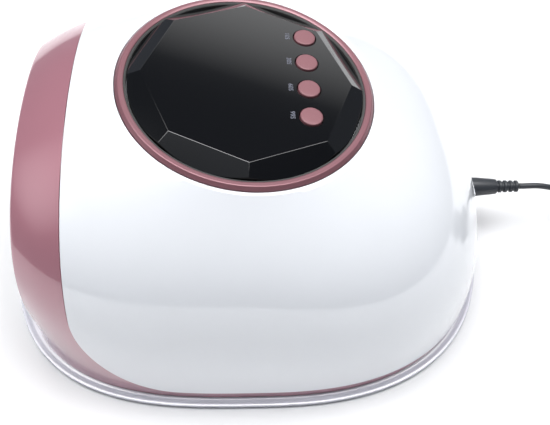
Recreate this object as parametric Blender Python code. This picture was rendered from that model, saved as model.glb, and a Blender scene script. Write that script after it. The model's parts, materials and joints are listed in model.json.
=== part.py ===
"""UV LED nail lamp, as the separate pieces that it comes apart into.

Metres, +Z up. The hand opening faces -Y, the mains lead leaves towards +Y, and the lamp rests on z = 0.
"""

from math import atan2, cos, pi, radians, sin, tanh

import bmesh
import bpy
from mathutils import Matrix, Vector

GAP = 0.0003  # between pieces that touch on the real lamp

# Body outline: a superellipse, blunter at the front than at the rear
HALF_WIDTH = 0.0937
FRONT_DEPTH = 0.1062
REAR_DEPTH = 0.1062
FRONT_POWER = 2.96
REAR_POWER = 2.66
OUTLINE_STEPS = 56

# Dome: side walls that rise from the outline and curve over to the display disc
WALL_FOOT_Z = 0.0100
DISPLAY_CENTRE = Vector((0.0, -0.0007, 0.0969))
DISPLAY_TILT = radians(6.9)  # leans back, away from the hand opening
DISPLAY_RADIUS = 0.0542
FOOT_HANDLE = 0.65
TOP_HANDLE = 0.44
TOP_SLOPE = 0.41
BROW = 0.118  # pushes the upper front forward, over the hands
PROFILE_STEPS = 10

# Front arch and the edge where the white shell stops
ARCH_Y = -0.0928
ARCH_POWER = 7.0
ARCH_LIP = 0.0026
SHELL_FRONT_Y = -0.0713
SWEEP_CENTRE = (-0.0298, 0.0500)  # y, z of the curve that carries the shell's edge rearwards
SHELL_THICKNESS = 0.0022
BAND_RECESS = 0.0008
HOUSING_OUTER = SHELL_THICKNESS + GAP
HOUSING_INNER = 0.0045
HOUSING_UNDERLAP = 0.0060
HOUSING_FOOT_Z = 0.0045

# Hand cavity
CAVITY_HALF_WIDTH = 0.0822
CAVITY_FRONT = 0.1078
CAVITY_REAR = 0.0782
CAVITY_TOP_Z = 0.0760
CAVITY_TOP_RADIUS = 0.0430
CAVITY_TOP_Y = -0.0078
LINER_THICKNESS = 0.0016
LINER_FOOT_Z = 0.0050

# Base tray
TRAY_UNDERSIDE_Z = 0.0012
TRAY_FLOOR_Z = 0.0034
TRAY_TOP_Z = 0.0042
TRAY_FLANGE = 0.0027
FOOT_RADIUS = 0.0060
FOOT_RECESS = 0.0008
MAGNET_RADIUS = 0.0025
MAGNET_HEIGHT = 0.0018

# Display, in the tilted display frame
SEAT_DEPTH = 0.0036
SEAT_PLATE = 0.0022
BEZEL_OUTER = 0.0523
BEZEL_INNER = 0.0478
LENS_RADIUS = 0.0474
TABLE_RADIUS = 0.0425
TABLE_HEIGHT = 0.0046
LENS_WALL = 0.0016
BUTTON_COUNT = 4
BUTTON_RADIUS = 0.0045
BUTTON_PITCH = 0.0146
BUTTON_ROW = (-0.0034, 0.0247)
BUTTON_RAISE = 0.0011
BUTTON_CLEARANCE = 0.0004
BOARD_TOP = -0.0079
BOARD_THICKNESS = 0.0016
SWITCH_SIDE = 0.0060
SWITCH_HEIGHT = 0.0035

# Rear socket, plug and lead
JACK_Z = 0.0250
JACK_FLOOR_Y = 0.1017
POCKET_FLOOR = 0.0020
SOCKET_LENGTH = 0.0142
PLUG_BODY_RADIUS = 0.0045
PLUG_TAIL_RADIUS = 0.0036
BARREL_RADIUS = 0.00275
CORD_RADIUS = 0.0014
PLUG_END_Y = JACK_FLOOR_Y + 0.0275
COIL_CENTRE = (0.0, 0.2150)
COIL_INNER = 0.0119
COIL_OUTER = 0.0211
COIL_HEIGHT = 0.0122
ADAPTER_CENTRE = (0.0, 0.3080)
ADAPTER_SIZE = (0.0460, 0.0760, 0.0300)

# name: (red, green, blue), roughness, metallic
FINISHES = {
    "gloss_white": ((0.86, 0.88, 0.90), 0.12, 0.0),
    "rose": ((0.48, 0.22, 0.26), 0.22, 0.15),
    "rose_metal": ((0.35, 0.15, 0.17), 0.28, 0.8),
    "black_gloss": ((0.006, 0.007, 0.009), 0.05, 0.0),
    "pearl": ((0.72, 0.72, 0.80), 0.15, 0.0),
    "mirror": ((0.85, 0.86, 0.88), 0.08, 1.0),
    "board_white": ((0.80, 0.82, 0.80), 0.45, 0.0),
    "board_green": ((0.03, 0.16, 0.07), 0.5, 0.0),
    "black_plastic": ((0.02, 0.02, 0.022), 0.45, 0.0),
    "grey_plastic": ((0.06, 0.065, 0.075), 0.45, 0.0),
    "steel": ((0.6, 0.6, 0.6), 0.3, 1.0),
    "rubber": ((0.10, 0.10, 0.10), 0.8, 0.0),
}


def clear_scene():
    for obj in list(bpy.data.objects):
        bpy.data.objects.remove(obj, do_unlink=True)


# ---------------------------------------------------------------- objects


def finish(obj, kind):
    """Gives the object a material of its own."""
    colour, roughness, metallic = FINISHES[kind]
    material = bpy.data.materials.new(obj.name)
    material.use_nodes = True
    shader = material.node_tree.nodes["Principled BSDF"]
    shader.inputs["Base Color"].default_value = (*colour, 1.0)
    shader.inputs["Roughness"].default_value = roughness
    shader.inputs["Metallic"].default_value = metallic
    material.diffuse_color = (*colour, 1.0)
    obj.data.materials.append(material)
    return obj


def add_object(name, data, parent=None, location=(0, 0, 0)):
    obj = bpy.data.objects.new(name, data)
    bpy.context.scene.collection.objects.link(obj)
    obj.parent = parent
    obj.location = location
    return obj


def mesh_object(name, shape, parent=None, location=(0, 0, 0), smooth=False):
    """A mesh object from (vertices, faces), facing out."""
    points, faces = shape
    mesh = bpy.data.meshes.new(name)
    mesh.from_pydata([tuple(p) for p in points], [], faces)
    work = bmesh.new()
    work.from_mesh(mesh)
    bmesh.ops.recalc_face_normals(work, faces=work.faces)
    work.to_mesh(mesh)
    work.free()
    if smooth:
        mesh.shade_smooth()
        mesh.set_sharp_from_angle(angle=radians(35))
    return add_object(name, mesh, parent, location)


def add_empty(name, location, rotation=(0, 0, 0)):
    empty = add_object(name, None, None, location)
    empty.rotation_euler = rotation
    return empty


def helper(name, shape, parent=None, location=(0, 0, 0)):
    """A shape that only cuts or joins others."""
    obj = mesh_object(name, shape, parent, location)
    obj.hide_render = True
    obj.display_type = "WIRE"
    return obj


def combine(obj, other, operation):
    modifier = obj.modifiers.new(f"{operation.lower()} {other.name}", "BOOLEAN")
    modifier.operation = operation
    modifier.object = other
    return obj


def cut(obj, *others):
    for other in others:
        combine(obj, other, "DIFFERENCE")


def join(obj, *others):
    for other in others:
        combine(obj, other, "UNION")


def keep(obj, *others):
    for other in others:
        combine(obj, other, "INTERSECT")


# ---------------------------------------------------------------- shapes


def loft(rings):
    """A closed solid through rings of equal length, with a flat cap at each end."""
    count = len(rings[0])
    points = [p for ring in rings for p in ring]
    faces = []
    for r in range(len(rings) - 1):
        for i in range(count):
            j = (i + 1) % count
            faces.append((r * count + i, r * count + j, (r + 1) * count + j, (r + 1) * count + i))
    faces.append(tuple(range(count))[::-1])
    faces.append(tuple((len(rings) - 1) * count + i for i in range(count)))
    return points, faces


def band(rings):
    """A closed solid that goes once round: the last ring joins the first."""
    count, turns = len(rings[0]), len(rings)
    points = [p for ring in rings for p in ring]
    faces = []
    for r in range(turns):
        s = (r + 1) % turns
        for i in range(count):
            j = (i + 1) % count
            faces.append((r * count + i, r * count + j, s * count + j, s * count + i))
    return points, faces


def circle(radius, z, steps, centre=(0.0, 0.0)):
    turn = 2 * pi / steps
    return [(centre[0] + radius * cos(i * turn), centre[1] + radius * sin(i * turn), z) for i in range(steps)]


def turned(profile, steps, centre=(0.0, 0.0)):
    """A solid of revolution about Z from (radius, z) pairs, capped flat at both ends."""
    return loft([circle(radius, z, steps, centre) for radius, z in profile])


def washer(profile, steps, centre=(0.0, 0.0)):
    """A ring about Z from a closed loop of (radius, z) pairs."""
    return band([circle(radius, z, steps, centre) for radius, z in profile])


def cuboid(low, high):
    (x0, y0, z0), (x1, y1, z1) = low, high
    bottom = [(x0, y0, z0), (x1, y0, z0), (x1, y1, z0), (x0, y1, z0)]
    return loft([bottom, [(x, y, z1) for x, y, _ in bottom]])


def several(shapes):
    """Separate shapes as one mesh."""
    points, faces = [], []
    for more_points, more_faces in shapes:
        start = len(points)
        points += more_points
        faces += [tuple(start + i for i in face) for face in more_faces]
    return points, faces


def moved(shape, matrix):
    points, faces = shape
    return [matrix @ Vector(p) for p in points], faces


def prism_x(outline, half_width):
    """A prism along X with an outline of (y, z) pairs."""
    return loft([[(x, y, z) for y, z in outline] for x in (-half_width, half_width)])


# ---------------------------------------------------------------- body curves


def outline_point(angle, width=HALF_WIDTH, front=FRONT_DEPTH, rear=REAR_DEPTH):
    """The body's outline in plan, seen from the lamp's centre."""
    c, s = cos(angle), sin(angle)
    frontness = 0.5 - 0.5 * tanh(3 * s)
    power = FRONT_POWER * frontness + REAR_POWER * (1 - frontness)
    depth = front if s < 0 else rear
    reach = (abs(c / width) ** power + abs(s / depth) ** power) ** (-1 / power)
    return reach * c, reach * s


def inset_point(angle, inset):
    """A point of the outline, moved inwards."""
    return outline_point(angle, HALF_WIDTH - inset, FRONT_DEPTH - inset, REAR_DEPTH - inset)


def rise(t, foot, top, slope):
    """How far the wall has come inwards and upwards, each from 0 at the foot to 1 at the display disc."""
    inward = 3 * (1 - t) * t * t * (1 - top) + t**3
    upward = 3 * (1 - t) ** 2 * t * foot + 3 * (1 - t) * t * t * (1 - slope * top) + t**3
    return inward, upward


def display_circle(angle, radius, drop):
    """A point of the tilted display disc, lowered by drop."""
    y = radius * sin(angle)
    return (
        radius * cos(angle),
        DISPLAY_CENTRE.y + y * cos(DISPLAY_TILT) - drop * sin(DISPLAY_TILT),
        DISPLAY_CENTRE.z - y * sin(DISPLAY_TILT) - drop * cos(DISPLAY_TILT),
    )


def wall_point(foot, top, foot_z, angle, t):
    inward, upward = rise(t, FOOT_HANDLE, TOP_HANDLE, TOP_SLOPE)
    frontness = max(0.0, -sin(angle)) ** 1.5
    lean = BROW * frontness * upward**2 * (1 - upward) ** 0.8
    return (
        foot[0] + (top[0] - foot[0]) * inward,
        foot[1] + (top[1] - foot[1]) * inward - lean,
        foot_z + (top[2] - foot_z) * upward,
    )


def dome(inset, bottom_z, cap_drop=None):
    """The body's outer form as a closed solid, shrunk by inset, with straight walls below the dome."""
    drop = inset if cap_drop is None else cap_drop
    angles = [2 * pi * i / OUTLINE_STEPS for i in range(OUTLINE_STEPS)]
    feet = [inset_point(a, inset) for a in angles]
    tops = [display_circle(a, DISPLAY_RADIUS, inset) for a in angles]
    rings = [[(x, y, bottom_z) for x, y in feet]]
    for step in range(PROFILE_STEPS + 1):
        t = step / PROFILE_STEPS
        rings.append([wall_point(f, p, WALL_FOOT_Z, a, t) for f, p, a in zip(feet, tops, angles)])
    if drop > inset:
        rings.append([display_circle(a, DISPLAY_RADIUS - 0.0015, inset) for a in angles])
        rings.append([display_circle(a, DISPLAY_RADIUS - 0.0015, drop) for a in angles])
    return loft(rings)


def cavity(inset, bottom_z):
    """The hand cavity's form as a closed solid, shrunk by inset."""
    steps = 36
    angles = [2 * pi * i / steps for i in range(steps)]
    sizes = (CAVITY_HALF_WIDTH - inset, CAVITY_FRONT - inset, CAVITY_REAR - inset)
    feet = [outline_point(a, *sizes) for a in angles]
    top_z = CAVITY_TOP_Z - inset
    tops = [(CAVITY_TOP_RADIUS * cos(a), CAVITY_TOP_RADIUS * sin(a) + CAVITY_TOP_Y, top_z) for a in angles]
    rings = [[(x, y, bottom_z) for x, y in feet]]
    for step in range(8):
        rings.append([wall_point(f, p, WALL_FOOT_Z, a, step / 7) for f, p, a in zip(feet, tops, angles)])
    return loft(rings)


def shell_edge(grow):
    """The (y, z) outline of all that lies behind and above the white shell's edge, moved out by grow."""
    y0, z0 = SWEEP_CENTRE
    semi_y = y0 - SHELL_FRONT_Y + grow
    semi_z = z0 - WALL_FOOT_Z + grow
    steps = 10
    curve = [
        (y0 - semi_y * cos(i * pi / 2 / steps), z0 - semi_z * sin(i * pi / 2 / steps))
        for i in range(steps + 1)
    ]
    return curve + [(0.2, z0 - semi_z), (0.2, 0.2), (y0 - semi_y, 0.2)]


def arch_front(back):
    """The block behind the front arch's face, moved rearwards by back."""
    width = HALF_WIDTH + 0.02
    depth = -ARCH_Y - back
    face = []
    for i in range(33):
        a = -pi + pi * i / 32
        c, s = cos(a), sin(a)
        reach = (abs(c / width) ** ARCH_POWER + abs(s / depth) ** ARCH_POWER) ** (-1 / ARCH_POWER)
        face.append((reach * c, reach * s))
    plan = face + [(width, 0.2), (-width, 0.2)]
    return loft([[(x, y, z) for x, y in plan] for z in (-0.05, 0.2)])


# ---------------------------------------------------------------- casing

SCREW_ANGLES = [radians(a) for a in (-14, 48, 132, 194)]
MAGNET_ANGLES = [radians(a) for a in (-27, 12, 168, 207)]
SCREW_INSET = 0.0072
MAGNET_INSET = 0.0068
PILLAR_FOOT_Z = 0.0175


def studs(angles, inset, radius, low, high, steps=12):
    return several(
        [turned([(radius, low), (radius, high)], steps, inset_point(a, inset)) for a in angles]
    )


def make_upper_shell():
    shell = mesh_object("upper_shell", dome(0.0, -0.02), smooth=True)
    hollow = helper("shell_hollow", dome(SHELL_THICKNESS, -0.03, SEAT_DEPTH + SEAT_PLATE))
    cut(shell, hollow)
    pillars = helper("shell_pillars", studs(SCREW_ANGLES, SCREW_INSET, 0.0030, PILLAR_FOOT_Z, 0.0600))
    keep(pillars, helper("pillar_limit", dome(SHELL_THICKNESS / 2, -0.03)))
    join(shell, pillars)
    pocket_wall = helper("jack_pocket_wall", cuboid(
        (-0.0105, JACK_FLOOR_Y - POCKET_FLOOR, 0.0170), (0.0105, JACK_FLOOR_Y + 0.0024, 0.0330)
    ))
    join(shell, pocket_wall)
    keep(shell, helper("shell_region", prism_x(shell_edge(0.0), 0.2)))
    seat = turned([(BEZEL_OUTER + GAP, -SEAT_DEPTH), (BEZEL_OUTER + GAP, 0.02)], 48)
    holes = [
        turned([(0.0050, -0.02), (0.0050, 0.0)], 16, (button_x(i), BUTTON_ROW[1]))
        for i in range(BUTTON_COUNT)
    ]
    window = cuboid((-0.0163, -0.0173, -0.02), (0.0163, 0.0023, 0.0))
    cut(shell, helper("seat_cut", seat, display_frame))
    cut(shell, helper("seat_holes", several(holes + [window]), display_frame))
    cut(shell, helper("jack_pocket", cuboid((-0.0085, JACK_FLOOR_Y, 0.0185), (0.0085, 0.12, 0.0315))))
    bores = helper("shell_bores", several([
        along_y(turned([(0.0040, 0.09), (0.0040, 0.12)], 16)),
        studs(SCREW_ANGLES, SCREW_INSET, 0.0016, 0.01, 0.0262, 8),
    ]))
    cut(shell, bores)
    return finish(shell, "gloss_white")


def along_y(shape, z=JACK_Z, x=0.0):
    """Turns a solid about Z so that its axis runs along +Y at the socket's height."""
    return moved(shape, Matrix.Translation((x, 0, z)) @ Matrix.Rotation(-pi / 2, 4, "X"))


def button_x(index):
    return BUTTON_ROW[0] + (index - (BUTTON_COUNT - 1) / 2) * BUTTON_PITCH


def make_inner_housing():
    """The rose front arch with the frame that runs round the foot, under the white shell."""
    housing = mesh_object("inner_housing", dome(HOUSING_OUTER, -0.02), smooth=True)
    cut(housing, helper("housing_limit", prism_x(shell_edge(-HOUSING_UNDERLAP), 0.2)))
    visible = helper("band_form", dome(BAND_RECESS, -0.02))
    cut(visible, helper("band_limit", prism_x(shell_edge(GAP), 0.2)))
    join(housing, visible)
    hollow = helper("housing_hollow", dome(HOUSING_INNER, -0.03))
    keep(hollow, helper("face_back", arch_front(ARCH_LIP)))
    cut(housing, hollow)
    bosses = helper("housing_bosses", several([
        studs(SCREW_ANGLES, SCREW_INSET, 0.0036, 0.0, PILLAR_FOOT_Z - GAP),
        studs(MAGNET_ANGLES, MAGNET_INSET - 0.0005, 0.0040, 0.0, 0.0090),
    ]))
    join(housing, bosses)
    keep(housing, helper("arch_block", arch_front(0.0)))
    cut(housing, helper("arch_mouth", cavity(LINER_THICKNESS - GAP, -0.04)))
    liner_room = helper("liner_room", cavity(-GAP, -0.05))
    keep(liner_room, helper("liner_room_block", arch_front(ARCH_LIP - 0.0001)))
    cut(housing, liner_room)
    below = helper("housing_foot", cuboid((-0.2, -0.2, -0.1), (0.2, 0.2, HOUSING_FOOT_Z)))
    sockets = helper("housing_bores", several([
        studs(MAGNET_ANGLES, MAGNET_INSET, MAGNET_RADIUS + GAP, 0.0, HOUSING_FOOT_Z + MAGNET_HEIGHT + 2 * GAP),
        studs(SCREW_ANGLES, SCREW_INSET, 0.0030, 0.0, 0.0100),
    ]))
    shanks = helper("housing_shanks", studs(SCREW_ANGLES, SCREW_INSET, 0.0019, 0.0, 0.03, 8))
    cut(housing, below, sockets, shanks)
    return finish(housing, "rose")


# ---------------------------------------------------------------- reflector and lamps

LED_RADIUS = 0.0025
LED_REACH = 0.0046
LED_HOLE = 0.0032
BOARD_GAP = 0.0006
TOP_LEDS = [(x, y) for x in (-0.030, -0.010, 0.010, 0.030) for y in (-0.034, -0.010, 0.014)]
SIDE_LEDS = [(-0.034 + 0.017 * i, 0.0) for i in range(5)]
REAR_LEDS = [(-0.030 + 0.020 * i, 0.0) for i in range(4)]
SIDE_BOARD = (0.0880, 0.0120)
REAR_BOARD = (0.0760, 0.0120)
TOP_BOARD = (0.0780, 0.0640)
STRIP_Z = 0.0400


def strip_matrix(angle, height_share):
    """A frame on the outside of the reflector's wall: local -Z points into the cavity, local X runs along it."""
    foot = outline_point(angle, CAVITY_HALF_WIDTH, CAVITY_FRONT, CAVITY_REAR)
    top = (CAVITY_TOP_RADIUS * cos(angle), CAVITY_TOP_RADIUS * sin(angle) + CAVITY_TOP_Y, CAVITY_TOP_Z)
    here = Vector(wall_point(foot, top, WALL_FOOT_Z, angle, height_share))
    above = Vector(wall_point(foot, top, WALL_FOOT_Z, angle, height_share + 0.02))
    up = (above - here).normalized()
    along = Vector((-sin(angle), cos(angle), 0.0))
    outward = along.cross(up).normalized()
    axes = Matrix((along, up, outward)).transposed().to_4x4()
    return Matrix.Translation(here + outward * BOARD_GAP) @ axes


def led_board_shape(size, places, reach):
    """A plate on local Z = 0 with the lamp beads that stick down from it."""
    half_x, half_y = size[0] / 2, size[1] / 2
    plate = cuboid((-half_x, -half_y, 0.0), (half_x, half_y, 0.0012))
    beads = [
        turned([(LED_RADIUS * 0.55, -reach), (LED_RADIUS, 0.0012 - reach), (LED_RADIUS, 0.0005)], 8, p)
        for p in places
    ]
    return plate, several(beads)


def led_frames():
    """name: (where its board lies, board size, bead places, bead reach)."""
    left = strip_matrix(pi, 0.34)
    right = strip_matrix(0.0, 0.34)
    rear = strip_matrix(pi / 2, 0.34)
    top = Matrix.Translation((0.0, -0.006, CAVITY_TOP_Z + BOARD_GAP))
    return {
        "led_board_top": (top, TOP_BOARD, TOP_LEDS, 0.0040),
        "led_board_left": (left, SIDE_BOARD, SIDE_LEDS, LED_REACH),
        "led_board_right": (right, SIDE_BOARD, SIDE_LEDS, LED_REACH),
        "led_board_rear": (rear, REAR_BOARD, REAR_LEDS, LED_REACH),
    }


def make_reflector():
    liner = mesh_object("reflector_liner", cavity(0.0, -0.02), smooth=True)
    cut(liner, helper("liner_hollow", cavity(LINER_THICKNESS, -0.03)))
    keep(liner, helper("liner_block", arch_front(ARCH_LIP + GAP)))
    cut(liner, helper("liner_foot", cuboid((-0.2, -0.2, -0.1), (0.2, 0.2, LINER_FOOT_Z))))
    holes = []
    for matrix, _, places, _ in led_frames().values():
        wells = [turned([(LED_HOLE, -0.012), (LED_HOLE, 0.004)], 8, p) for p in places]
        holes.append(moved(several(wells), matrix))
    sensor_window = cuboid((-0.0056, -0.0624, 0.05), (0.0056, -0.0532, 0.09))
    cut(liner, helper("liner_holes", several(holes + [sensor_window])))
    return finish(liner, "mirror")


def make_led_boards():
    for name, (matrix, size, places, reach) in led_frames().items():
        plate, beads = led_board_shape(size, places, reach)
        board = mesh_object(name, moved(plate, matrix))
        join(board, helper(f"{name}_beads", moved(beads, matrix)))
        finish(board, "board_white")


def make_hand_sensor():
    body = cuboid((-0.0050, -0.0618, 0.0712), (0.0050, -0.0538, 0.0812))
    sensor = mesh_object("hand_sensor", body)
    return finish(sensor, "black_plastic")


# ---------------------------------------------------------------- display and buttons


def make_bezel():
    profile = [
        (BEZEL_OUTER, -SEAT_DEPTH + GAP), (BEZEL_OUTER, 0.0002), (0.0517, 0.0011), (0.0503, 0.0017),
        (0.0488, 0.0013), (BEZEL_INNER, -0.0002), (BEZEL_INNER, -SEAT_DEPTH + GAP),
    ]
    ring = mesh_object("display_bezel", washer(profile, 48), display_frame, smooth=True)
    return finish(ring, "rose_metal")


def lens_form(radius, table, floor_z, edge_z, top_z):
    """A round wall that closes over in eight sloping facets to an eight-sided table."""
    steps = 48
    rim = circle(radius, floor_z, steps)
    edge = circle(radius, edge_z, steps)
    points = rim + edge + circle(table, top_z, 8)
    faces = [tuple(range(steps))[::-1]]
    for i in range(steps):
        j = (i + 1) % steps
        faces.append((i, j, steps + j, steps + i))
    span = steps // 8
    for facet in range(8):
        near = 2 * steps + facet
        far = 2 * steps + (facet + 1) % 8
        start = facet * span
        middle = start + span // 2
        for i in range(start, start + span):
            corner = near if i < middle else far
            faces.append((steps + i, steps + (i + 1) % steps, corner))
        faces.append((near, steps + middle, far))
    faces.append(tuple(range(2 * steps, 2 * steps + 8)))
    return points, faces


def make_lens():
    floor_z = -SEAT_DEPTH + GAP
    lens = mesh_object(
        "display_lens", lens_form(LENS_RADIUS, TABLE_RADIUS, floor_z, -0.0006, TABLE_HEIGHT), display_frame
    )
    under = lens_form(
        LENS_RADIUS - LENS_WALL, TABLE_RADIUS - LENS_WALL, -0.02, -0.0006 - LENS_WALL, TABLE_HEIGHT - LENS_WALL
    )
    cut(lens, helper("lens_hollow", under, display_frame))
    wells = [
        turned([(BUTTON_RADIUS + BUTTON_CLEARANCE, -0.02), (BUTTON_RADIUS + BUTTON_CLEARANCE, 0.02)], 20,
               (button_x(i), BUTTON_ROW[1]))
        for i in range(BUTTON_COUNT)
    ]
    cut(lens, helper("lens_wells", several(wells), display_frame))
    return finish(lens, "black_gloss")


def make_buttons():
    """Each cap slides along its own axis and pushes a switch plunger that moves with it."""
    top = TABLE_HEIGHT + BUTTON_RAISE
    plunger_top = BOARD_TOP + GAP + SWITCH_HEIGHT + 0.0010
    for i, seconds in enumerate((10, 30, 60, 99)):
        place = (button_x(i), BUTTON_ROW[1], TABLE_HEIGHT)
        under = TABLE_HEIGHT - LENS_WALL - 0.0004
        profile = [
            (0.0018, plunger_top + GAP), (0.0018, under - 0.0012), (BUTTON_RADIUS + 0.0007, under - 0.0012),
            (BUTTON_RADIUS + 0.0007, under), (BUTTON_RADIUS, under), (BUTTON_RADIUS, top - 0.0004),
            (BUTTON_RADIUS - 0.0004, top),
        ]
        local = [(r, z - TABLE_HEIGHT) for r, z in profile]
        button = mesh_object(f"button_{seconds}s", turned(local, 20), display_frame, place, smooth=True)
        finish(button, "rose")
        plunger = [(0.0015, plunger_top - 0.0030 - TABLE_HEIGHT), (0.0015, plunger_top - TABLE_HEIGHT)]
        pin = mesh_object(f"switch_plunger_{seconds}s", turned(plunger, 10), display_frame, place, smooth=True)
        finish(pin, "black_plastic")
        base = BOARD_TOP + GAP - TABLE_HEIGHT
        half = SWITCH_SIDE / 2
        switch = mesh_object(
            f"switch_{seconds}s",
            cuboid((-half, -half, base), (half, half, base + SWITCH_HEIGHT)), display_frame, place,
        )
        well = turned([(0.0019, base + 0.0006), (0.0019, base + 0.01)], 10)
        cut(switch, helper(f"switch_well_{seconds}s", well, display_frame, place))
        finish(switch, "grey_plastic")


def make_control_board():
    board = mesh_object(
        "control_board", cuboid((-0.0400, -0.0340, BOARD_TOP - BOARD_THICKNESS), (0.0400, 0.0360, BOARD_TOP)),
        display_frame,
    )
    return finish(board, "board_green")


def make_timer_display():
    """The two-digit block behind the dark lens."""
    module = mesh_object(
        "timer_display", cuboid((-0.0160, -0.0170, BOARD_TOP + GAP), (0.0160, 0.0020, TABLE_HEIGHT - 0.0024)),
        display_frame,
    )
    return finish(module, "black_plastic")


# ---------------------------------------------------------------- base tray


def outline_ring(grow, z):
    steps = 64
    return [(*inset_point(2 * pi * i / steps, -grow), z) for i in range(steps)]


def make_base_tray():
    rings = [
        outline_ring(0.0012, TRAY_UNDERSIDE_Z), outline_ring(TRAY_FLANGE, TRAY_UNDERSIDE_Z + 0.0007),
        outline_ring(TRAY_FLANGE, TRAY_UNDERSIDE_Z + 0.0017), outline_ring(0.0010, TRAY_TOP_Z),
        outline_ring(-0.0140, TRAY_TOP_Z), outline_ring(-0.0150, TRAY_FLOOR_Z),
    ]
    tray = mesh_object("base_tray", loft(rings))
    pockets = [studs(MAGNET_ANGLES, MAGNET_INSET, MAGNET_RADIUS + GAP, TRAY_TOP_Z - MAGNET_HEIGHT - GAP, 0.01)]
    pockets += [
        turned([(FOOT_RADIUS + GAP, 0.0), (FOOT_RADIUS + GAP, TRAY_UNDERSIDE_Z + FOOT_RECESS)], 16, p)
        for p in foot_places()
    ]
    cut(tray, helper("tray_pockets", several(pockets)))
    return finish(tray, "pearl")


def foot_places():
    return [(x, y) for x in (-0.055, 0.055) for y in (-0.070, 0.075)]


def make_feet():
    for i, place in enumerate(foot_places(), start=1):
        profile = [(FOOT_RADIUS - 0.0004, 0.0), (FOOT_RADIUS, 0.0004)]
        profile.append((FOOT_RADIUS, TRAY_UNDERSIDE_Z + FOOT_RECESS - GAP))
        foot = mesh_object(f"rubber_foot_{i}", turned(profile, 16), location=(*place, 0.0))
        finish(foot, "rubber")


def make_magnets():
    for i, angle in enumerate(MAGNET_ANGLES, start=1):
        place = inset_point(angle, MAGNET_INSET)
        low = TRAY_TOP_Z - MAGNET_HEIGHT
        tray_magnet = turned([(MAGNET_RADIUS, low), (MAGNET_RADIUS, TRAY_TOP_Z)], 16)
        finish(mesh_object(f"tray_magnet_{i}", tray_magnet, location=(*place, 0.0)), "steel")
        low = HOUSING_FOOT_Z + GAP
        lamp_magnet = turned([(MAGNET_RADIUS, low), (MAGNET_RADIUS, low + MAGNET_HEIGHT)], 16)
        finish(mesh_object(f"lamp_magnet_{i}", lamp_magnet, location=(*place, 0.0)), "steel")


def make_screws():
    """Each screw goes up through the housing's boss into the shell's pillar."""
    for i, angle in enumerate(SCREW_ANGLES, start=1):
        place = inset_point(angle, SCREW_INSET)
        profile = [
            (0.0026, 0.0100 - GAP - 0.0018), (0.0026, 0.0100 - GAP), (0.0012, 0.0100 - GAP + 0.0001),
            (0.0012, 0.0240), (0.0004, 0.0252),
        ]
        screw = mesh_object(f"shell_screw_{i}", turned(profile, 10), location=(*place, 0.0))
        finish(screw, "steel")


# ---------------------------------------------------------------- power


def socket_block():
    front_y = JACK_FLOOR_Y - POCKET_FLOOR - GAP
    return cuboid((-0.0050, front_y - SOCKET_LENGTH, JACK_Z - 0.0055), (0.0050, front_y, JACK_Z + 0.0055))


def make_socket():
    back_y = JACK_FLOOR_Y - POCKET_FLOOR - GAP - SOCKET_LENGTH
    socket = mesh_object("dc_socket", socket_block())
    cut(socket, helper("socket_bore", along_y(turned([(0.0031, back_y + 0.0020), (0.0031, 0.12)], 16))))
    join(socket, helper("socket_pin", along_y(turned([(0.0008, back_y + 0.0010), (0.0008, back_y + 0.0115)], 12))))
    return finish(socket, "black_plastic")


def make_plug():
    """Barrel, moulded grip and ribbed strain relief, from the tip inside the socket outwards."""
    face = JACK_FLOOR_Y + 0.0004
    ribs = JACK_FLOOR_Y + 0.0165
    rib_step = 0.0026
    profile = [
        (BARREL_RADIUS, face - 0.0120), (BARREL_RADIUS, face), (PLUG_BODY_RADIUS - 0.0004, face),
        (PLUG_BODY_RADIUS, face + 0.0008), (PLUG_BODY_RADIUS, face + 0.0050), (PLUG_TAIL_RADIUS, ribs),
    ]
    for i in range(4):
        y = ribs + rib_step * i
        profile += [(0.0022, y + 0.0001), (0.0022, y + 0.0009), (0.0029, y + 0.0010), (0.0029, y + 0.0024)]
    profile.append((0.0022, ribs + 4 * rib_step))
    plug = mesh_object("dc_plug", along_y(turned(profile, 16)), smooth=True)
    cut(plug, helper("plug_bore", along_y(turned([(0.0012, 0.08), (0.0012, face - 0.0025)], 12))))
    return finish(plug, "grey_plastic")


def tube(name, points, radius, kind):
    curve = bpy.data.curves.new(name, "CURVE")
    curve.dimensions = "3D"
    curve.bevel_depth = radius
    curve.bevel_resolution = 2
    curve.use_fill_caps = True
    spline = curve.splines.new("POLY")
    spline.points.add(len(points) - 1)
    for point, place in zip(spline.points, points):
        point.co = (*place, 1.0)
    return finish(add_object(name, curve), kind)


def smooth_route(corners, spacing):
    """Points at even spacing along a Catmull-Rom curve through the corners."""
    ends = [2 * corners[0] - corners[1]] + corners + [2 * corners[-1] - corners[-2]]
    fine = []
    for a, b, c, d in zip(ends, ends[1:], ends[2:], ends[3:]):
        for k in range(24):
            t = k / 24
            fine.append(
                0.5 * (2 * b + (c - a) * t + (2 * a - 5 * b + 4 * c - d) * t * t + (3 * b - a - 3 * c + d) * t**3)
            )
    fine.append(corners[-1])
    route = [fine[0]]
    for p in fine[1:-1]:
        if (p - route[-1]).length >= spacing:
            route.append(p)
    if (fine[-1] - route[-1]).length < spacing / 2:
        route.pop()
    return route + [fine[-1]]


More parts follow.
